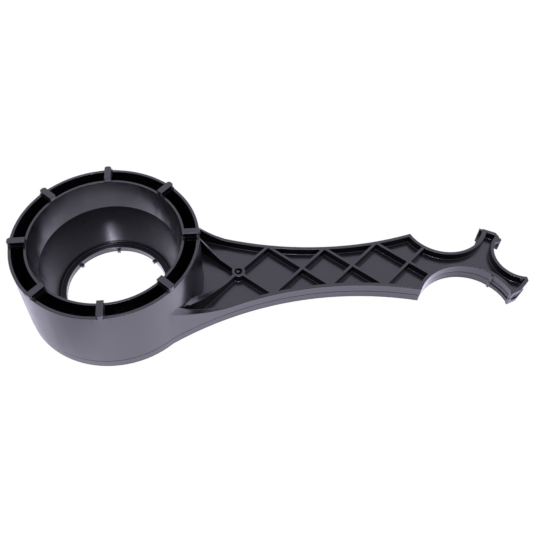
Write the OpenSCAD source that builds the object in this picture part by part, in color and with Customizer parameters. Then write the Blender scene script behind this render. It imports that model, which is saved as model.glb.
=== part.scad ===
// Filter housing wrench, moulded in one piece.
// A deep ring socket with eight lugs, a waisted handle of I-section with
// crossing ribs, and a tail with three jaws of different sizes.
// Millimetres, +Z up. The origin lies on the ring axis in the plane of the
// foot, and the handle runs along +X.

/* [Ring] */
// Outside diameter of the ring at its foot
ring_d = 111.1; // [106:0.1:116]
// Height of the ring from foot to rim
ring_h = 53; // [46:0.5:60]
// Thickness of the outer wall of the ring
ring_wall = 1.8; // [1.6:0.1:2.6]
// How far the outside of the ring leans in at the rim
ring_lean = 0.25; // [0.1:0.05:1]
// Diameter of the socket at its mouth
socket_d = 90; // [87:0.5:93]
// Thickness of the socket wall
socket_wall = 1.5; // [1.2:0.1:2.2]
// Depth of the band below the mouth of the socket
band_depth = 20; // [15:0.5:24]
// Diameter of the socket at the foot of the band
band_d = 85; // [81:0.5:87]
// Diameter of the funnel at its lower end
funnel_d = 70.2; // [67:0.2:74]
// Height of the lower end of the funnel
funnel_z = 5; // [4:0.25:6]

/* [Hole] */
// Diameter of the hole through the foot of the socket
hole_d = 63.2; // [58:0.2:65]
// Thickness of the ledge around the hole
ledge_t = 1.8; // [1.4:0.1:2.6]
// Width of each tooth on the ledge
tooth_w = 2; // [1.6:0.1:4]
// How far each tooth stands into the hole
tooth_h = 1.5; // [1:0.1:2.6]
// Angle between the three teeth on each side of the hole
tooth_pitch = 49; // [40:1:56]

/* [Lugs] */
// Number of lugs round the rim, each stands on a rib of the ring
lugs = 8; // [4:1:10]
// Width of each lug
lug_w = 4.4; // [3:0.1:6]
// How far the lugs stand above the rim
lug_rise = 3.2; // [1.5:0.1:4.5]
// How far each lug reaches down into the gap of the ring
lug_foot = 3; // [2:0.25:6]
// Width of the cap of each lug on the outer wall
cap_w = 5; // [4.6:0.1:6.5]
// How far the caps stand out of the rim
lug_reach = 0.3; // [0.1:0.1:1.2]
// Thickness of the ribs that carry the lugs
lug_rib = 2.2; // [1.6:0.1:2.8]

/* [Handle] */
// Height of the handle
handle_h = 13; // [11:0.5:16]
// Radius of the two hollow sides
side_r = 214.5; // [208:0.5:220]
// Distance of the waist, the narrowest place, from the ring axis
waist_x = 139.6; // [138:0.1:141]
// How far the hollow sides dip into the outer wall of the ring
dip = 0.8; // [0.3:0.1:1.2]
// Thickness of the walls round the edge of the handle
edge_t = 2.2; // [1.8:0.1:2.8]
// Thickness of the web at half height
web_t = 2.8; // [1.8:0.1:3.4]
// How far the lower half stands back at the parting line
step = 0.25; // [0.1:0.05:0.5]
// Height of the fine groove along the parting line
line_h = 0.5; // [0.3:0.1:0.8]
// Depth of the fine groove along the parting line
line_depth = 0.4; // [0.2:0.1:0.6]
// Radius of the cove where walls and ribs rise to the ring
cove_r = 24; // [16:0.5:28]

/* [Ribs] */
// Thickness of the crossing ribs
rib_t = 1.9; // [1.4:0.1:2.6]
// Distance of the boss from the ring axis
boss_x = 78; // [76:0.5:80]
// Diameter of the boss
boss_d = 8.6; // [7:0.1:10]
// Diameter of the recess in the boss
recess_d = 5; // [3:0.1:6]
// Depth of the recess in the boss
recess_depth = 3; // [1:0.25:4]
// Number of crossing bays between boss and tail
bays = 3; // [2:1:3]
// Angle of the crossing ribs to the handle
rib_angle = 42.1; // [41:0.1:43]
// Angle of the two ribs from the boss to the ring
brace_angle = 44; // [38:0.5:44]

/* [Jaws] */
// Distance of the neck of the tail from the ring axis
neck_x = 219.6; // [218:0.2:221]
// Width of the neck between the two side jaws
neck_w = 11.4; // [10:0.2:14]
// Radius of the smaller side jaw
small_r = 27.1; // [26:0.1:28]
// Radius of the larger side jaw
large_r = 30.7; // [29.5:0.1:31.5]
// Radius of the end jaw
end_r = 18.9; // [18:0.1:20]
// Distance from the neck to the bottom of the end jaw
end_gap = 27; // [26:0.2:28.4]
// How far the end jaw lies off the handle centre line
end_y = 1.4; // [0:0.1:2]
// Distance from the neck to the place from which the prongs are measured
prong_gap = 23.4; // [22.4:0.2:24.4]
// Length of the shorter prong
short_len = 21.6; // [20.8:0.1:22.2]
// Direction of the end of the shorter prong
short_angle = 62.7; // [60:0.5:65]
// Length of the shorter prong to its bevel
bevel_len = 15.8; // [15.2:0.1:16.4]
// Direction of the bevel of the shorter prong
bevel_angle = 22; // [20:0.5:24]
// Length of the longer prong
long_len = 28.2; // [27:0.1:29]
// Direction of the end of the longer prong
long_angle = 46.4; // [44:0.5:48]
// Length of the longer prong along the handle, where its corner is cut off
corner_len = 19.6; // [19:0.1:20.4]
// Length of the longer prong to the bevel of its tip
tip_len = 29.6; // [29:0.1:30.4]
// Direction of the bevel of its tip
tip_angle = 68; // [66:0.5:70]

/* [Grips] */
// How far the pad stands out of the smaller jaw
pad_rise = 0.7; // [0.3:0.1:1]
// How far the first tooth stands out of the smaller jaw
small_start_rise = 1.2; // [1.1:0.1:2]
// How far the tooth at the prong end stands out of the smaller jaw
small_tip_rise = 2.9; // [1.2:0.1:3.2]
// How far the first tooth stands out of the larger jaw
large_start_rise = 1.2; // [1.1:0.1:2]
// How far the tooth at the prong end stands out of the larger jaw
large_tip_rise = 0.6; // [0.4:0.1:2]
// How far the teeth stand out of the end jaw
hook_rise = 2.6; // [1.6:0.1:3]
// How far the pad stands out of the end jaw
hook_pad = 2.1; // [0.8:0.1:2.4]
// Width of the grip teeth
grip_w = 1.8; // [1.4:0.1:2.4]
// Angle covered by the grip of the smaller jaw
small_grip = 28; // [24:1:32]
// Angle covered by the grip of the larger jaw
large_grip = 35; // [31:1:38]
// Angle covered by the grip of the end jaw
end_grip = 19; // [16:1:24]
// Direction in which the grip of the smaller jaw ends
small_end = -20; // [-24:1:-17]
// Direction in which the grip of the larger jaw ends
large_end = 13; // [10:1:16]
// Direction in which the grip of the end jaw ends
end_end = 131; // [128:1:134]
// Depth of the groove round the prongs
groove_depth = 1; // [0.5:0.1:1.3]
// Thickness of the lips above and below the groove
lip_t = 3; // [2:0.1:4]
// How far the grip teeth stand back from the top and the underside
tooth_back = 0.4; // [0.3:0.1:1]

/* [Hidden] */
$fn = 96;
// Small overlap between joined solids
lap = 0.3;
ring_r = ring_d / 2;
rim_r = ring_r - ring_lean;
socket_r = socket_d / 2;
// Inner end of the lugs
lug_r = socket_r + lap / 2;
band_r = band_d / 2;
band_z = ring_h - band_depth;
funnel_r = funnel_d / 2;
hole_r = hole_d / 2;
// Height of the parting line, the web lies on it
part_z = handle_h / 2;
web_top = part_z + web_t / 2;
web_low = part_z - web_t / 2;
// Radius of the funnel at height z
function funnel_at(z) = funnel_r + (band_r - funnel_r) * (z - funnel_z) / (band_z - funnel_z);
// The hollow sides of the handle run into the ring
side_y = sqrt(pow(side_r + ring_r - dip, 2) - pow(waist_x, 2));
// Place where the hollow sides leave the ring
touch_x = ring_r * waist_x / (side_r + ring_r);
// Inner end of everything that is joined to the ring
join_r = ring_r - ring_wall / 2;
// Sheet that bounds the plan before it is cut to shape
sheet_w = 2 * ring_d;
sheet_l = neck_x + sheet_w;
small_y = neck_w / 2 + small_r;
large_y = neck_w / 2 + large_r;
small_c = [neck_x, small_y];
large_c = [neck_x, -large_y];
end_c = [neck_x + end_gap + end_r, end_y];
prong_x = neck_x + prong_gap;
// Half width of the handle at x, to the middle of its wall
function half_width(x) = side_y - sqrt(pow(side_r + edge_t / 2, 2) - pow(x - waist_x, 2));
// Distance along the handle from a crossing at x to the next pair of rib ends,
// each of n turns comes closer to it
function bay(x, b = 0, n = 20) = n == 0 ? b : bay(x, half_width(x + b) / tan(rib_angle), n - 1);
// Place of crossing number i on the centre line
function crossing(i) = i == 0 ? boss_x : crossing(i - 1) + 2 * bay(crossing(i - 1));

// Section of the ring without its hollows
module ring_section() {
  polygon([
    [hole_r, 0],
    [ring_r - step, 0],
    [ring_r - step, part_z - line_h],
    [ring_r - step - line_depth, part_z - line_h],
    [ring_r - step - line_depth, part_z],
    [ring_r, part_z],
    [rim_r, ring_h],
    [socket_r, ring_h],
    [band_r, band_z],
    [funnel_r, funnel_z],
    [funnel_r, ledge_t],
    [hole_r, ledge_t]
  ]);
}

// Section of the gap between the outer wall and the socket wall
module gap_section() {
  polygon([
    [funnel_at(web_top) + socket_wall, web_top],
    [ring_r - ring_wall, web_top],
    [rim_r - ring_wall, ring_h],
    [rim_r - ring_wall, ring_h + 1],
    [socket_r + socket_wall, ring_h + 1],
    [socket_r + socket_wall, ring_h],
    [band_r + socket_wall, band_z]
  ]);
}

// Section of the hollow in the underside of the ring
module foot_section() {
  hollow_r = funnel_r + socket_wall;
  translate([hollow_r, -1])
    square([ring_r - step - ring_wall - hollow_r, web_low + 1]);
}

// Copies in line with the lugs
module round_the_ring() {
  for (i = [0 : lugs - 1])
    rotate(i * 360 / lugs)
      children();
}

// Radial slabs that stay standing as ribs in the hollows of the ring
module ring_ribs() {
  round_the_ring()
    translate([hole_r, -lug_rib / 2, -2])
      cube([ring_r - hole_r, lug_rib, ring_h + 4]);
}

// One lug: a bar across the gap with a cap on the outer wall
module lug() {
  translate([lug_r, -lug_w / 2, ring_h - lug_foot])
    cube([rim_r - ring_wall / 2 - lug_r, lug_w, lug_foot + lug_rise]);
  translate([rim_r - ring_wall, -cap_w / 2, ring_h - lap])
    cube([ring_wall + lug_reach, cap_w, lug_rise + lap]);
}

module ring() {
  difference() {
    rotate_extrude()
      ring_section();
    difference() {
      rotate_extrude()
        gap_section();
      ring_ribs();
    }
    difference() {
      rotate_extrude()
        foot_section();
      ring_ribs();
    }
  }
  round_the_ring()
    lug();
  for (side = [90, 270])
    for (i = [-1 : 1])
      rotate(side + i * tooth_pitch)
        translate([hole_r - tooth_h, -tooth_w / 2, 0])
          cube([tooth_h + 1, tooth_w, ledge_t]);
}

// Half plane beyond a prong end, d from the measuring place at angle a
module beyond(d, a) {
  translate([prong_x, 0])
    rotate(a)
      translate([d, -sheet_w / 2])
        square([sheet_w, sheet_w]);
}

// Everything beyond the prong ends, moved inwards by t
module prong_ends(t) {
  beyond(short_len - t, short_angle);
  beyond(bevel_len - t, bevel_angle);
  beyond(long_len - t, -long_angle);
  beyond(corner_len - t, 0);
  beyond(tip_len - t, -tip_angle);
}

// The three jaws and the two hollow sides, grown by t
module hollows(t) {
  for (side = [-1, 1])
    translate([waist_x, side * side_y])
      circle(side_r + t, $fn = 360);
  translate(small_c)
    circle(small_r + t);
  translate(large_c)
    circle(large_r + t);
  translate(end_c)
    circle(end_r + t);
}

// Plan of handle and tail, drawn in by t all round
module plan(t) {
  difference() {
    translate([touch_x, -sheet_w / 2])
      square([sheet_l, sheet_w]);
    hollows(t);
    prong_ends(t);
    circle(join_r);
  }
}

// Flat bar from p in direction a
module bar(p, a, len) {
  translate(p)
    rotate(a)
      translate([0, -rib_t / 2])
        square([len, rib_t]);
}

// Plan of the crossing ribs
module ribs() {
  reach = boss_x;
  intersection() {
    plan(edge_t / 2);
    union() {
      for (side = [-1, 1]) {
        for (i = [0 : bays - 1]) {
          len = bay(crossing(i)) / cos(rib_angle);
          bar([crossing(i), 0], side * rib_angle, len);
          bar([crossing(i + 1), 0], 180 - side * rib_angle, len);
        }
        bar([boss_x, 0], 180 - side * brace_angle, reach);
        bar([crossing(bays), 0], side * rib_angle, 2 * small_r);
      }
    }
  }
}

// Flat wedge of radius r, from angle a through w
module wedge(r, a, w) {
  far = 2 * r;
  intersection() {
    circle(r);
    polygon([[0, 0], far * [cos(a), sin(a)], far * [cos(a + w), sin(a + w)]]);
  }
}

// Flat ring sector between two radii, from angle a through w
module sector(r0, r1, a, w) {
  difference() {
    wedge(r1, a, w);
    circle(r0);
  }
}

// Angle that a tooth takes up on a jaw of radius r
function tooth_angle(r) = grip_w / r * 180 / PI;

// Two teeth on a jaw of radius r, at the ends of a grip from angle a through w
module teeth(p, r, a, w, first_rise, last_rise) {
  base_r = r + edge_t - lap;
  tooth = tooth_angle(r);
  translate(p) {
    sector(r - first_rise, base_r, a, tooth);
    sector(r - last_rise, base_r, a + w - tooth, tooth);
  }
}

// Pad on a jaw of radius r, from angle a through w
module pad(p, r, a, w, rise) {
  translate(p)
    sector(r - rise, r + edge_t - lap, a, w);
}

// Groove in a jaw of radius r, from the middle of one tooth to that of the other
module jaw_groove(p, r, a, w) {
  tooth = tooth_angle(r);
  translate(p)
    wedge(r + groove_depth, a + tooth / 2, w - tooth);
}

// Teeth of the three jaws, cut off at the prong ends
module grip_teeth() {
  difference() {
    union() {
      teeth(small_c, small_r, small_end - small_grip, small_grip, small_start_rise, small_tip_rise);
      teeth(large_c, large_r, large_end, large_grip, large_tip_rise, large_start_rise);
      teeth(end_c, end_r, end_end, end_grip, hook_rise, hook_rise);
    }
    prong_ends(step);
  }
}

// Plan of the groove that runs round the prongs
module groove_plan() {
  jaw_groove(small_c, small_r, small_end - small_grip, small_grip);
  jaw_groove(large_c, large_r, large_end, large_grip);
  jaw_groove(end_c, end_r, end_end, end_grip);
  prong_ends(groove_depth);
}

// Walls, ribs, boss and pads of the handle, with the edge drawn in by t
module frame_plan(t) {
  difference() {
    plan(t);
    plan(edge_t);
  }
  ribs();
  translate([boss_x, 0])
    circle(boss_d / 2);
  difference() {
    union() {
      pad(small_c, small_r, small_end - small_grip, small_grip, pad_rise - t);
      pad(end_c, end_r, end_end, end_grip, hook_pad - t);
    }
    prong_ends(t);
  }
}

// Space below the top of the handle and below the cove round the ring
module below_top() {
  translate([0, -sheet_w / 2, part_z - lap])
    cube([sheet_l, sheet_w, handle_h - part_z + lap]);
  rotate_extrude()
    difference() {
      translate([join_r - 1, part_z - lap])
        square([ring_wall / 2 + 1 + cove_r - lap, handle_h - part_z + cove_r]);
      translate([ring_r + cove_r - lap, handle_h + cove_r - lap])
        circle(cove_r);
    }
}

module handle() {
  difference() {
    union() {
      linear_extrude(part_z - line_h)
        frame_plan(step);
      translate([0, 0, part_z - line_h])
        linear_extrude(line_h)
          frame_plan(step + line_depth);
      intersection() {
        translate([0, 0, part_z])
          linear_extrude(handle_h + cove_r)
            frame_plan(0);
        below_top();
      }
    }
    translate([0, 0, lip_t])
      linear_extrude(handle_h - 2 * lip_t)
        groove_plan();
  }
  translate([0, 0, web_low])
    linear_extrude(web_t)
      plan(edge_t / 2);
  translate([0, 0, tooth_back])
    linear_extrude(handle_h - 2 * tooth_back)
      grip_teeth();
}

module wrench() {
  color([0.13, 0.13, 0.15])
    difference() {
      union() {
        ring();
        handle();
      }
      translate([boss_x, 0, handle_h - recess_depth])
        cylinder(d = recess_d, h = recess_depth + 1);
    }
}

wrench();
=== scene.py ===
import math

import bmesh
import bpy
from mathutils import Matrix, Vector


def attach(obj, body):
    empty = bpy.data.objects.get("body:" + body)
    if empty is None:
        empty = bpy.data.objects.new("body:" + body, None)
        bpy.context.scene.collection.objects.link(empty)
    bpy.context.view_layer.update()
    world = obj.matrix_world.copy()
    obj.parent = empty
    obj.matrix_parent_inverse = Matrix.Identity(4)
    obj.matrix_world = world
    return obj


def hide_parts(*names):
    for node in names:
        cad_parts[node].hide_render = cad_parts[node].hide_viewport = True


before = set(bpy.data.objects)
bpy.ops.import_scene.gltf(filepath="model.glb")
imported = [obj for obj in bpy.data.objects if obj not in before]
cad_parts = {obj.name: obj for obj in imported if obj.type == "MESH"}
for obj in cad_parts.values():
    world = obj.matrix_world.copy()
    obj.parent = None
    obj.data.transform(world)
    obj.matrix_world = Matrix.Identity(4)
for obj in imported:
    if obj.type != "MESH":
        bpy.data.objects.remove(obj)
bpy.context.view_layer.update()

# Lengths are in metres and angles in degrees. A step of the ring is its radius and height

# Mould radii, and the length that an edge needs to take one
EDGE_RADIUS = 0.0002
ROOMY_EDGE = 0.00055
FILLET_RADIUS = 0.0005

# Plastic: colours of the cloudy melt and of its edges, which are worn and lightened by a painted
# sheen, how uneven its gloss is, how much smoother its edges are, then shine and roughness of
# the body and of the funnel. A span is the part of the noise that counts, and an edge begins
# and ends at a cosine
PLASTIC_IOR = 1.46
MELT_DARK = (0.0036, 0.0034, 0.0044, 1)
MELT_LIGHT = (0.0054, 0.0051, 0.0066, 1)
MELT_SPAN = (0.3, 0.72)
EDGE_WEAR_AND_SHEEN = (0.0110, 0.0105, 0.0135, 1)
EDGE_FADE = (0.98, 0.75)
EDGE_POLISH = 0.08
GLOSS_SPAN = (0.3, 0.7)
GLOSS_SPREAD = 0.03
BODY_FINISH = (0.5, 0.23)
FUNNEL_FINISH = (0.10, 0.30)

# Dusty places: middle and width of the groove along the parting line, height of
# the edge of the foot, and how much rougher the plastic is there
LINE_HEIGHT = 0.0062
LINE_WIDTH = 0.0010
FOOT_HEIGHT = 0.0006
DUST_ROUGHNESS = 0.6

# Light of the studio: a cool white room, brightest high behind the wrench, with one lamp
# overhead, over a light table that glows more in front of the wrench. Inside the ring
# the table is clear, and one lamp shines up through it
LIGHT_TINT = (0.98, 0.94, 1.16, 1)
ROOM_BRIGHT = 1.8
ROOM_DARK = 0.2
ROOM_WAY = (0.056, 0.466, 0.883)
ROOM_FADE = (0.2, 0.95)
LAMP = 1.2
LAMP_WIDTH = 8.0
LAMP_TILT = 6.0
UNDER_LAMP = 63.0
UNDER_SIZE = 0.044
UNDER_CONE = 5.6
UNDER_BLEND = 0.1
UNDER_RISE = 20.7
UNDER_TURN = 0.5
UNDER_DISTANCE = 1.0

# Light table: its size and tones, its glow behind and in front of the wrench, where the
# front glow fades in and ends at either side, and the clear part and the glow under it
TABLE_SIZE = 8.0
TABLE_DARK = (0.78, 0.78, 0.80, 1)
TABLE_LIGHT = (0.82, 0.82, 0.84, 1)
TABLE_ROUGHNESS = 0.9
BACK_GLOW = 0.3
FRONT_GLOW = 1.45
FRONT_FADE = (0.0, -0.012)
LEFT_FADE = (-0.050, 0.0)
RIGHT_FADE = (0.270, 0.240)
HOLE_GLOW = 2.5
HOLE_RADIUS = 0.034
HOLE_FADE = (-0.018, 0.020)

# Socket of the CAD model: outside radius, then its steps
SOCKET_RADIUS = 0.047
BAND_FOOT = (0.0425, 0.033)
FUNNEL_FOOT = (0.0351, 0.005)
HOLE_WALL = (0.0316, 0.0018)

# Ring, handle and end jaw of the CAD model
RING_FOOT = (0.05555, 0.0065)
RING_RIM = (0.0553, 0.053)
HANDLE_TOP = 0.013
SIDE_PLACE = (0.1396, 0.23023)
SIDE_RADIUS = 0.2145
EDGE_WALL = 0.0022
RECESS_FLOOR = 0.010
JAW_PLACE = (0.2655, 0.0014)

# Tighter cove where the ribs meet the ring
COVE_RADIUS = 0.0185
COVE_SINK = 0.0003
COVE_CLEAR = 0.0001
COVE_REACH = 0.0805
COVE_TOP = 0.038
COVE_SPREAD = 75.0
COVE_STEPS = 40

# Higher ledge round the hole
LEDGE_TOP = 0.004
LEDGE_LAP = 0.0002
LEDGE_SINK = 0.0005

# Lugs with cut corners, each on a foot from one radius to another and up to a height
LUGS = 8
LUG_START = 0.044
LUG_HALF = 0.0020
LUG_CUT = 0.0009
LUG_END = 0.0556
LUG_FOOT = (0.0535, 0.05515, 0.0541)
LUG_TOP = 0.058
LUG_UNDERCUT = 0.001

# Hook with two tapered lips on the shorter prong, about the middle of the end jaw: the
# cuts that free the upper lip, and the added lower lip
HOOK_TAPER = (0.0162, 0.0188)
HOOK_SPAN = (134.0, 147.0)
HOOK_START = 120.0
HOOK_END = 152.0
HOOK_OVERLAP = 0.1
HOOK_UNDERSIDE = 0.00305
HOOK_BACK = 0.0190
HOOK_MIDDLE = 0.010
HOOK_CLEAR = 0.001
LIP_TAPER = (0.0164, 0.0195)
LIP_BACK = 0.0206
LIP_SPAN = (131.5, 147.0)
LIP_HEIGHTS = (0.0048, 0.0075)

# Broken end of the gate in the boss: its rows as shares of its height, and how far its
# outline and its top are uneven
GATE_PLACE = (0.0776, 0.0)
GATE_RADIUS = 0.0018
GATE_HEIGHT = 0.0029
GATE_ROOT = 0.0002
GATE_CORNERS = 9
GATE_ROWS = (0.0, 0.6, 1.0)
GATE_TAPER = 0.35
GATE_UNEVEN = 0.22
GATE_WAVE = (2.3, 1.0)
GATE_RAGGED = 0.25
GATE_TOP_WAVE = 3.1

# Making the forms: steps of round solids, the skin left where a solid meets a face, the
# shifts tried for a solid, and the distances and angles for joining and shading the mesh
RING_STEP = 3.75
SIDE_STEPS = 360
JAW_STEPS = 8
SKIN = 0.000005
TOOL_SHIFTS = (0.0, 0.000001, -0.0000015, 0.000002)
SAME_POINT = 0.000001
CLOSE_POINT = 4 * SKIN
LEVEL = 0.00001
FUNNEL_SLACK = 0.0002
FUNNEL_LAP = 0.01
FLAT_ANGLE = math.radians(0.6)
SHARP_ANGLE = math.radians(24)
RIM_ANGLE = math.radians(3)
RIM_REACH = 0.001

# Camera at the photo's angle
CAM_PLACE = Vector((0.0640, -0.26496, 0.38224))
CAM_HEADING = math.radians(6.864)
CAM_PITCH = math.radians(53.891)
CAM_ROLL = math.radians(2.315)
CAM_LENS = 48.107
CAM_SENSOR = 36.0
CAM_NEAR = 0.01

scene = bpy.context.scene


def node(tree, kind, **values):
    """A shader node with its properties and inputs set, an input by its name with _ for a space."""
    made = tree.nodes.new(kind)
    for key, value in values.items():
        label = key.replace("_", " ")
        if label in made.inputs:
            made.inputs[label].default_value = value
        else:
            setattr(made, key, value)
    return made


def ranged(tree, source, start, stop, low=0.0, high=1.0, kind="LINEAR"):
    """A value mapped from one span to another."""
    ends = {"From_Min": start, "From_Max": stop, "To_Min": low, "To_Max": high}
    made = node(tree, "ShaderNodeMapRange", interpolation_type=kind, **ends)
    tree.links.new(source, made.inputs["Value"])
    return made.outputs["Result"]


def maths(tree, operation, *terms, clamp=False):
    """The result of an operation on plain numbers and the outputs of other nodes."""
    made = node(tree, "ShaderNodeMath", operation=operation, use_clamp=clamp)
    for slot, term in zip(made.inputs, terms):
        if isinstance(term, float):
            slot.default_value = term
        else:
            tree.links.new(term, slot)
    return made.outputs["Value"]


def noise(tree, place, **values):
    """A noise texture over a place."""
    made = node(tree, "ShaderNodeTexNoise", **values)
    tree.links.new(place, made.inputs["Vector"])
    return made.outputs["Fac"]


def colours(tree, source, dark, light, start=0.0, stop=1.0):
    """A colour between two, by a value."""
    made = node(tree, "ShaderNodeValToRGB")
    for stage, place, colour in zip(made.color_ramp.elements, (start, stop), (dark, light)):
        stage.position = place
        stage.color = colour
    tree.links.new(source, made.inputs["Fac"])
    return made.outputs["Color"]


def bump(tree, height, normal, **values):
    """A normal with relief laid over it."""
    made = node(tree, "ShaderNodeBump", **values)
    tree.links.new(height, made.inputs["Height"])
    tree.links.new(normal, made.inputs["Normal"])
    return made.outputs["Normal"]


def axes_of(tree, place):
    """The outputs X, Y and Z of a place."""
    made = node(tree, "ShaderNodeSeparateXYZ")
    tree.links.new(place, made.inputs["Vector"])
    return made.outputs


def mixed(tree, share, first, second):
    """Two shaders mixed by a share of the second."""
    made = node(tree, "ShaderNodeMixShader")
    tree.links.new(share, made.inputs["Fac"])
    tree.links.new(first, made.inputs[1])
    tree.links.new(second, made.inputs[2])
    return made.outputs["Shader"]


def camera_rays(tree):
    """One where the camera looks straight at a surface, else nought."""
    return node(tree, "ShaderNodeLightPath").outputs["Is Camera Ray"]


def plastic(name, shine, roughness):
    """Semi-matte black moulded plastic with fine grain, flow marks, and edges lightened by wear and
    a painted sheen.
    """
    mat = bpy.data.materials.new(name)
    mat.use_nodes = True
    tree = mat.node_tree
    tree.nodes.clear()
    link = tree.links.new
    out = node(tree, "ShaderNodeOutputMaterial")
    skin = node(tree, "ShaderNodeBsdfPrincipled", IOR=PLASTIC_IOR, Specular_IOR_Level=shine)
    link(skin.outputs["BSDF"], out.inputs["Surface"])
    place = node(tree, "ShaderNodeTexCoord").outputs["Object"]

    # Edge mask: where the rounded normal leaves the face normal
    face = node(tree, "ShaderNodeNewGeometry")
    soft = node(tree, "ShaderNodeBevel", samples=16, Radius=FILLET_RADIUS)
    turn = node(tree, "ShaderNodeVectorMath", operation="DOT_PRODUCT")
    link(soft.outputs["Normal"], turn.inputs[0])
    link(face.outputs["True Normal"], turn.inputs[1])
    edge = ranged(tree, turn.outputs["Value"], *EDGE_FADE)

    # Colour: charcoal with a slight violet cast, cloudy from the melt flow
    cloud = noise(tree, place, Scale=38.0, Detail=5.0, Roughness=0.6)
    melt = colours(tree, cloud, MELT_DARK, MELT_LIGHT, *MELT_SPAN)
    # Edges mixed to a lighter colour: partly wear, partly a painted sheen standing in for
    # highlights on edges and fillets
    wear_and_sheen = node(tree, "ShaderNodeMix", data_type="RGBA", B=EDGE_WEAR_AND_SHEEN)
    link(edge, wear_and_sheen.inputs["Factor"])
    link(melt, wear_and_sheen.inputs["A"])
    link(wear_and_sheen.outputs["Result"], skin.inputs["Base Color"])

    # Roughness: uneven gloss, more polish on the edges, and dust in the groove of the
    # parting line and on the edge of the foot
    patch = noise(tree, place, Scale=120.0, Detail=4.0)
    smooth, dull = roughness - GLOSS_SPREAD, roughness + GLOSS_SPREAD
    gloss = ranged(tree, patch, *GLOSS_SPAN, smooth, dull)
    polish = maths(tree, "MULTIPLY_ADD", edge, -EDGE_POLISH, gloss)
    height = axes_of(tree, place)["Z"]
    line = maths(tree, "COMPARE", height, LINE_HEIGHT, LINE_WIDTH / 2)
    foot = maths(tree, "LESS_THAN", height, FOOT_HEIGHT)
    dusty = maths(tree, "MAXIMUM", line, foot)
    rough = maths(tree, "MULTIPLY_ADD", dusty, DUST_ROUGHNESS, polish, clamp=True)
    link(rough, skin.inputs["Roughness"])

    # Relief: fine mould grain over slow waves
    grain = noise(tree, place, Scale=2600.0, Detail=2.0)
    fine = bump(tree, grain, soft.outputs["Normal"], Strength=0.10, Distance=0.00005)
    wave = noise(tree, place, Scale=90.0, Detail=1.0)
    slow = bump(tree, wave, fine, Strength=0.02, Distance=0.0004)
    link(slow, skin.inputs["Normal"])
    return mat


def light_table():
    """White translucent sheet lit from below, clear inside the ring."""
    mat = bpy.data.materials.new("light table")
    mat.use_nodes = True
    tree = mat.node_tree
    link = tree.links.new
    skin = tree.nodes["Principled BSDF"]
    skin.inputs["Roughness"].default_value = TABLE_ROUGHNESS
    skin.inputs["Emission Color"].default_value = LIGHT_TINT
    place = node(tree, "ShaderNodeTexCoord").outputs["Object"]
    tone = colours(tree, noise(tree, place, Scale=400.0), TABLE_DARK, TABLE_LIGHT)
    link(tone, skin.inputs["Base Color"])

    # Glow
    axes = axes_of(tree, place)
    front = ranged(tree, axes["Y"], *FRONT_FADE, kind="SMOOTHSTEP")
    more = FRONT_GLOW - BACK_GLOW
    left = ranged(tree, axes["X"], *LEFT_FADE, high=more, kind="SMOOTHSTEP")
    right = ranged(tree, axes["X"], *RIGHT_FADE, kind="SMOOTHSTEP")
    within = maths(tree, "MULTIPLY", left, right)
    glow = maths(tree, "MULTIPLY_ADD", front, within, BACK_GLOW)
    link(glow, skin.inputs["Emission Strength"])

    # The clear part inside the ring
    away = node(tree, "ShaderNodeVectorMath", operation="LENGTH")
    link(place, away.inputs[0])
    inside = maths(tree, "LESS_THAN", away.outputs["Value"], HOLE_RADIUS)
    share = maths(tree, "MULTIPLY", inside, ranged(tree, axes["Y"], *HOLE_FADE))
    clear = node(tree, "ShaderNodeBsdfTransparent")
    window = mixed(tree, share, skin.outputs["BSDF"], clear.outputs["BSDF"])

    # The camera sees the table as plain white paper
    paper = node(tree, "ShaderNodeEmission")
    seen = mixed(tree, camera_rays(tree), window, paper.outputs["Emission"])
    link(seen, tree.nodes["Material Output"].inputs["Surface"])
    return mat


def studio_room():
    """Room that is brightest high behind the wrench, with a glow under the table."""
    world = bpy.data.worlds.new("studio")
    world.use_nodes = True
    tree = world.node_tree
    link = tree.links.new
    room = tree.nodes["Background"]
    room.inputs["Color"].default_value = LIGHT_TINT
    way = node(tree, "ShaderNodeTexCoord").outputs["Generated"]
    toward = node(tree, "ShaderNodeVectorMath", operation="DOT_PRODUCT")
    toward.inputs[1].default_value = ROOM_WAY
    link(way, toward.inputs[0])
    bright = toward.outputs["Value"]
    above = ranged(tree, bright, *ROOM_FADE, ROOM_DARK, ROOM_BRIGHT, kind="SMOOTHSTEP")
    both = node(tree, "ShaderNodeMix", data_type="FLOAT", B=HOLE_GLOW)
    link(maths(tree, "LESS_THAN", axes_of(tree, way)["Z"], 0.0), both.inputs["Factor"])
    link(above, both.inputs["A"])
    link(both.outputs["Result"], room.inputs["Strength"])

    # The camera sees the room as the same plain white as the table
    backdrop = node(tree, "ShaderNodeBackground", Color=(1, 1, 1, 1))
    white = backdrop.outputs["Background"]
    seen = mixed(tree, camera_rays(tree), room.outputs["Background"], white)
    link(seen, tree.nodes["World Output"].inputs["Surface"])
    return world


def add_lamp(name, kind, energy, turn, **values):
    """A lamp in the tint of the studio, turned by three angles."""
    lamp = bpy.data.lights.new(name, kind)
    lamp.energy = energy
    lamp.color = LIGHT_TINT[:3]
    for key, value in values.items():
        setattr(lamp, key, value)
    made = bpy.data.objects.new(name, lamp)
    made.rotation_euler = [math.radians(a) for a in turn]
    scene.collection.objects.link(made)
    return made


def on_funnel(place):
    """Whether a point lies on the funnel between the foot of the band and its own foot."""
    share = (place.z - FUNNEL_FOOT[1]) / (BAND_FOOT[1] - FUNNEL_FOOT[1])
    radius = FUNNEL_FOOT[0] + share * (BAND_FOOT[0] - FUNNEL_FOOT[0])
    near = abs(place.xy.length - radius) < FUNNEL_SLACK
    return near and -FUNNEL_LAP < share < 1 + FUNNEL_LAP


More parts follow.
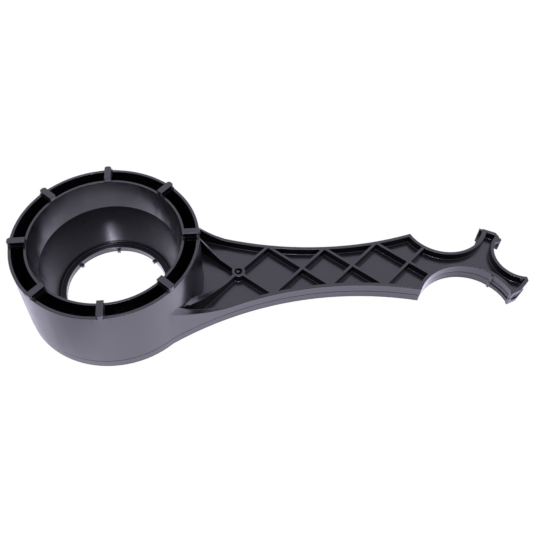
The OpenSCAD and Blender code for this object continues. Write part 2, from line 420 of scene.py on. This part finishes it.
def add_solid(shape, rings, closed=False):
    """Skin a row of outlines, with caps on both ends unless the row closes on itself."""
    rows = [[shape.verts.new(point) for point in ring] for ring in rings]
    pairs = list(zip(rows, rows[1:]))
    if closed:
        pairs.append((rows[-1], rows[0]))
    else:
        shape.faces.new(rows[0])
        shape.faces.new(rows[-1])
    for near, far in pairs:
        for i in range(len(near)):
            j = (i + 1) % len(near)
            shape.faces.new((near[i], near[j], far[j], far[i]))


def add_prism(shape, plan, low, high):
    """An upright prism over a plan."""
    add_solid(shape, [[(x, y, z) for x, y in plan] for z in (low, high)])


def turned(profile, start, stop):
    """Copies of a profile of radii and heights, turned about the ring axis."""
    steps = round((stop - start) / RING_STEP)
    angles = [math.radians(start + i * RING_STEP) for i in range(steps + 1)]
    return [[(r * math.cos(a), r * math.sin(a), z) for r, z in profile] for a in angles]


def as_object(name, shape):
    """A closed shape as an object of the scene."""
    bmesh.ops.recalc_face_normals(shape, faces=shape.faces)
    mesh = bpy.data.meshes.new(name)
    shape.to_mesh(mesh)
    shape.free()
    made = bpy.data.objects.new(name, mesh)
    scene.collection.objects.link(made)
    return made


def joined(mesh, distance):
    """A mesh opened for editing, with points nearer than a distance joined."""
    shape = bmesh.new()
    shape.from_mesh(mesh)
    bmesh.ops.remove_doubles(shape, verts=shape.verts, dist=distance)
    return shape


def box_of(mesh):
    """Lowest and highest corner of a mesh."""
    axes = list(zip(*(v.co for v in mesh.vertices)))
    return [min(a) for a in axes], [max(a) for a in axes]


def is_sound(mesh, box):
    """Whether a mesh is closed, with its close points joined, and keeps inside a box."""
    shape = joined(mesh, CLOSE_POINT)
    closed = all(len(e.link_faces) == 2 for e in shape.edges)
    shape.free()
    low, high = box_of(mesh)
    kept = all(a > b - SKIN for a, b in zip(low, box[0]))
    return closed and kept and all(a < b + SKIN for a, b in zip(high, box[1]))


def apply_tool(part, tool, operation):
    """Cut a solid out of a part, or join it to it, and remove the solid.

    An unsound result is tried again with the solid a little aside, and else dropped.
    """
    change = part.modifiers.new("form", "BOOLEAN")
    change.operation = operation
    change.solver = "EXACT"
    change.object = tool
    box = box_of(part.data)
    for aside in TOOL_SHIFTS:
        tool.location = (aside, aside, aside)
        bpy.context.view_layer.update()
        graph = bpy.context.evaluated_depsgraph_get()
        made = bpy.data.meshes.new_from_object(part.evaluated_get(graph))
        if is_sound(made, box):
            part.data = made
            break
    else:
        print("Form left out:", tool.name)
    part.modifiers.clear()
    bpy.data.objects.remove(tool)


def ring_wall(z):
    """Radius just outside the leaning outer wall of the ring, at a height."""
    share = (z - RING_FOOT[1]) / (RING_RIM[1] - RING_FOOT[1])
    return RING_FOOT[0] + share * (RING_RIM[0] - RING_FOOT[0]) + SKIN


def tighten_cove(part):
    """Cut the cove of the ribs at the ring down to a smaller radius, between the side walls."""
    sunk = COVE_RADIUS - COVE_SINK
    middle = (RING_FOOT[0] + sunk, HANDLE_TOP + sunk)
    arc = []
    for i in range(COVE_STEPS + 1):
        angle = math.radians(180 + 90 * i / COVE_STEPS)
        r = middle[0] + COVE_RADIUS * math.cos(angle)
        z = middle[1] + COVE_RADIUS * math.sin(angle)
        if r > ring_wall(z) + COVE_CLEAR and z > HANDLE_TOP + COVE_CLEAR:
            arc.append((r, z))
    start = middle[1] - math.sqrt(COVE_RADIUS**2 - (middle[0] - ring_wall(middle[1]))**2)
    floor = HANDLE_TOP + 2 * SKIN
    bottom = middle[0] - math.sqrt(COVE_RADIUS**2 - (middle[1] - floor)**2)
    profile = [(ring_wall(COVE_TOP), COVE_TOP), (ring_wall(start), start)] + arc
    profile += [(bottom, floor), (COVE_REACH, floor), (COVE_REACH, COVE_TOP)]
    shape = bmesh.new()
    add_solid(shape, turned(profile, -COVE_SPREAD, COVE_SPREAD))
    tool = as_object("cove", shape)

    # The side walls keep the CAD model's cove
    shape = bmesh.new()
    r = SIDE_RADIUS + EDGE_WALL + SKIN
    angles = [math.radians(360 * i / SIDE_STEPS) for i in range(SIDE_STEPS)]
    for y in (-SIDE_PLACE[1], SIDE_PLACE[1]):
        plan = [(SIDE_PLACE[0] + r * math.cos(a), y + r * math.sin(a)) for a in angles]
        add_prism(shape, plan, 0.0, 2 * COVE_TOP)
    apply_tool(tool, as_object("side walls", shape), "DIFFERENCE")
    apply_tool(part, tool, "DIFFERENCE")


def lug_cutters(plan, low, high):
    """Prisms over a plan of radii and offsets, on both sides of every lug."""
    shape = bmesh.new()
    for i in range(LUGS):
        out = Vector((math.cos(math.tau * i / LUGS), math.sin(math.tau * i / LUGS)))
        side = Vector((-out.y, out.x))
        for hand in (-1, 1):
            add_prism(shape, [out * u + side * v * hand for u, v in plan], low, high)
    return as_object("lug sides", shape)


def shape_lugs(part):
    """Make each lug a narrower bar with cut corners, on a low foot on the outer wall."""
    rim = RING_RIM[1] + SKIN
    wide = 2 * LUG_HALF
    slim = LUG_HALF - LUG_CUT
    foot, outer, foot_top = LUG_FOOT
    start = foot - SKIN
    lip = RING_RIM[0] + SKIN
    nose = [(LUG_END - LUG_CUT, LUG_HALF), (LUG_END, slim)]
    nose += [(LUG_END + wide, slim), (LUG_END + wide, wide)]
    bar = [(LUG_START, LUG_HALF), (start, LUG_HALF), (start, wide), (LUG_START, wide)]
    under = [(lip, slim + LUG_END - lip)] + nose[1:] + [(lip, wide)]
    cuts = (
        (bar, rim, LUG_TOP),
        ([(start, LUG_HALF)] + nose + [(start, wide)], foot_top, LUG_TOP),
        (nose + [(outer, wide), (outer, LUG_HALF)], rim, foot_top),
        (under, RING_RIM[1] - LUG_UNDERCUT, rim),
    )
    for plan, low, high in cuts:
        apply_tool(part, lug_cutters(plan, low, high), "DIFFERENCE")


def jaw_sector(inner, outer, span, low, high):
    """Sector about the middle of the end jaw, each radius running from a first to a last value."""
    near, far = [], []
    for i in range(JAW_STEPS + 1):
        share = i / JAW_STEPS
        angle = math.radians(span[0] + (span[1] - span[0]) * share)
        for row, ends in ((near, inner), (far, outer)):
            r = ends[0] + (ends[1] - ends[0]) * share
            row.append((JAW_PLACE[0] + r * math.cos(angle), JAW_PLACE[1] + r * math.sin(angle)))
    shape = bmesh.new()
    add_prism(shape, near + far[::-1], low, high)
    return as_object("jaw sector", shape)


def shape_hook(part):
    """Turn the pad in the end jaw into a hook with an upper and a lower lip."""
    middle = (HOOK_MIDDLE, HOOK_MIDDLE)
    low, top = -HOOK_CLEAR, HANDLE_TOP + HOOK_CLEAR
    flush = (HOOK_TAPER[1], HOOK_TAPER[1])
    cuts = (
        (HOOK_TAPER, HOOK_SPAN, top),
        (flush, (HOOK_SPAN[1] - HOOK_OVERLAP, HOOK_END), top),
        ((HOOK_BACK, HOOK_BACK), (HOOK_START, HOOK_END), HOOK_UNDERSIDE),
    )
    for reach, span, high in cuts:
        apply_tool(part, jaw_sector(middle, reach, span, low, high), "DIFFERENCE")
    lip = jaw_sector(LIP_TAPER, (LIP_BACK, LIP_BACK), LIP_SPAN, *LIP_HEIGHTS)
    apply_tool(part, lip, "UNION")


def raise_ledge(part):
    """Raise the ledge round the hole nearly to the lower end of the funnel."""
    low, high = HOLE_WALL[1] - LEDGE_LAP, LEDGE_TOP
    inner, outer = HOLE_WALL[0] + SKIN, FUNNEL_FOOT[0] + LEDGE_SINK
    profile = [(inner, low), (outer, low), (outer, high), (inner, high)]
    shape = bmesh.new()
    add_solid(shape, turned(profile, 0.0, 360.0 - RING_STEP), closed=True)
    apply_tool(part, as_object("ledge", shape), "UNION")


def break_gate(part):
    """Put the rough end of the broken gate into the recess of the boss."""
    rows = []
    for share in GATE_ROWS:
        row = []
        for i in range(GATE_CORNERS):
            angle = math.tau * i / GATE_CORNERS
            uneven = GATE_UNEVEN * math.sin(GATE_WAVE[0] * i + GATE_WAVE[1])
            r = GATE_RADIUS * (1 + uneven - GATE_TAPER * share)
            ragged = GATE_RAGGED * math.sin(GATE_TOP_WAVE * i) * share
            rise = share * GATE_HEIGHT * (1 + ragged)
            row.append((
                GATE_PLACE[0] + r * math.cos(angle),
                GATE_PLACE[1] + r * math.sin(angle),
                RECESS_FLOOR - GATE_ROOT + rise,
            ))
        rows.append(row)
    shape = bmesh.new()
    add_solid(shape, rows)
    bmesh.ops.triangulate(shape, faces=[f for f in shape.faces if len(f.verts) > 4])
    apply_tool(part, as_object("gate", shape), "UNION")


def dress_mesh(mesh):
    """Join close points, pick the funnel, and mark the edges that are sharp or take a radius."""
    shape = joined(mesh, CLOSE_POINT)
    bmesh.ops.dissolve_limit(
        shape,
        angle_limit=FLAT_ANGLE,
        verts=shape.verts,
        edges=shape.edges,
    )
    for f in shape.faces:
        f.smooth = True
        if all(on_funnel(v.co) for v in f.verts):
            f.material_index = 1
    share = shape.edges.layers.float.new("bevel_weight_edge")
    tight = {v for e in shape.edges if e.calc_length() < ROOMY_EDGE for v in e.verts}
    for e in shape.edges:
        turn = e.calc_face_angle(0.0)
        reach = sorted(v.co.xy.length for v in e.verts)
        low, high = sorted(v.co.z for v in e.verts)
        outer = reach[0] > SOCKET_RADIUS
        e[share] = outer and turn > SHARP_ANGLE and tight.isdisjoint(e.verts)
        rim = high - low < LEVEL and reach[1] < BAND_FOOT[0] + RIM_REACH
        e.smooth = len(e.link_faces) == 2 and turn < (RIM_ANGLE if rim else SHARP_ANGLE)
    mesh.materials.clear()
    shape.to_mesh(mesh)
    shape.free()
    mesh.materials.append(plastic("black_plastic", *BODY_FINISH))
    mesh.materials.append(plastic("polished_plastic", *FUNNEL_FINISH))
    if "custom_normal" in mesh.attributes:
        mesh.attributes.remove(mesh.attributes["custom_normal"])


# The moulding: the CAD shape with its finer forms and small mould radii on its edges
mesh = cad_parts["wrench"].data.copy()
shape = joined(mesh, SAME_POINT)
shape.to_mesh(mesh)
shape.free()
wrench = bpy.data.objects.new("moulding", mesh)
scene.collection.objects.link(wrench)
tighten_cove(wrench)
shape_lugs(wrench)
shape_hook(wrench)
raise_ledge(wrench)
break_gate(wrench)
dress_mesh(wrench.data)
bevel = wrench.modifiers.new("mould radii", "BEVEL")
bevel.width = EDGE_RADIUS
bevel.segments = 2
bevel.limit_method = "WEIGHT"
bevel.use_clamp_overlap = False
bevel.harden_normals = False
weight = wrench.modifiers.new("face weighted normals", "WEIGHTED_NORMAL")
weight.keep_sharp = True
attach(wrench, "root")
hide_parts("wrench")

# Floor
bpy.ops.mesh.primitive_plane_add(size=TABLE_SIZE)
ground = bpy.context.object
ground.name = "floor"
ground.data.materials.append(light_table())

# Soft studio light: the room, a lamp overhead and a lamp that shines up through the ring
scene.world = studio_room()
add_lamp("overhead", "SUN", LAMP, (LAMP_TILT, 0.0, 0.0), angle=math.radians(LAMP_WIDTH))
under = add_lamp(
    "under",
    "SPOT",
    UNDER_LAMP,
    (90 + UNDER_RISE, 0.0, UNDER_TURN),
    shadow_soft_size=UNDER_SIZE,
    spot_size=math.radians(UNDER_CONE),
    spot_blend=UNDER_BLEND,
)
under.location = under.rotation_euler.to_matrix() @ Vector((0.0, 0.0, UNDER_DISTANCE))
scene.view_settings.view_transform = "Standard"

# Camera
heading = Vector((math.sin(CAM_HEADING), math.cos(CAM_HEADING), 0.0))
forward = heading * math.cos(CAM_PITCH) - Vector((0, 0, math.sin(CAM_PITCH)))
level = Vector((math.cos(CAM_HEADING), -math.sin(CAM_HEADING), 0.0))
upward = level.cross(forward)
right = level * math.cos(CAM_ROLL) + upward * math.sin(CAM_ROLL)
up = upward * math.cos(CAM_ROLL) - level * math.sin(CAM_ROLL)
lens = bpy.data.cameras.new("camera")
lens.lens = CAM_LENS
lens.sensor_width = CAM_SENSOR
lens.clip_start = CAM_NEAR
camera = bpy.data.objects.new("camera", lens)
turn = Matrix((right, up, -forward)).transposed().to_4x4()
camera.matrix_world = Matrix.Translation(CAM_PLACE) @ turn
scene.collection.objects.link(camera)
scene.camera = camera
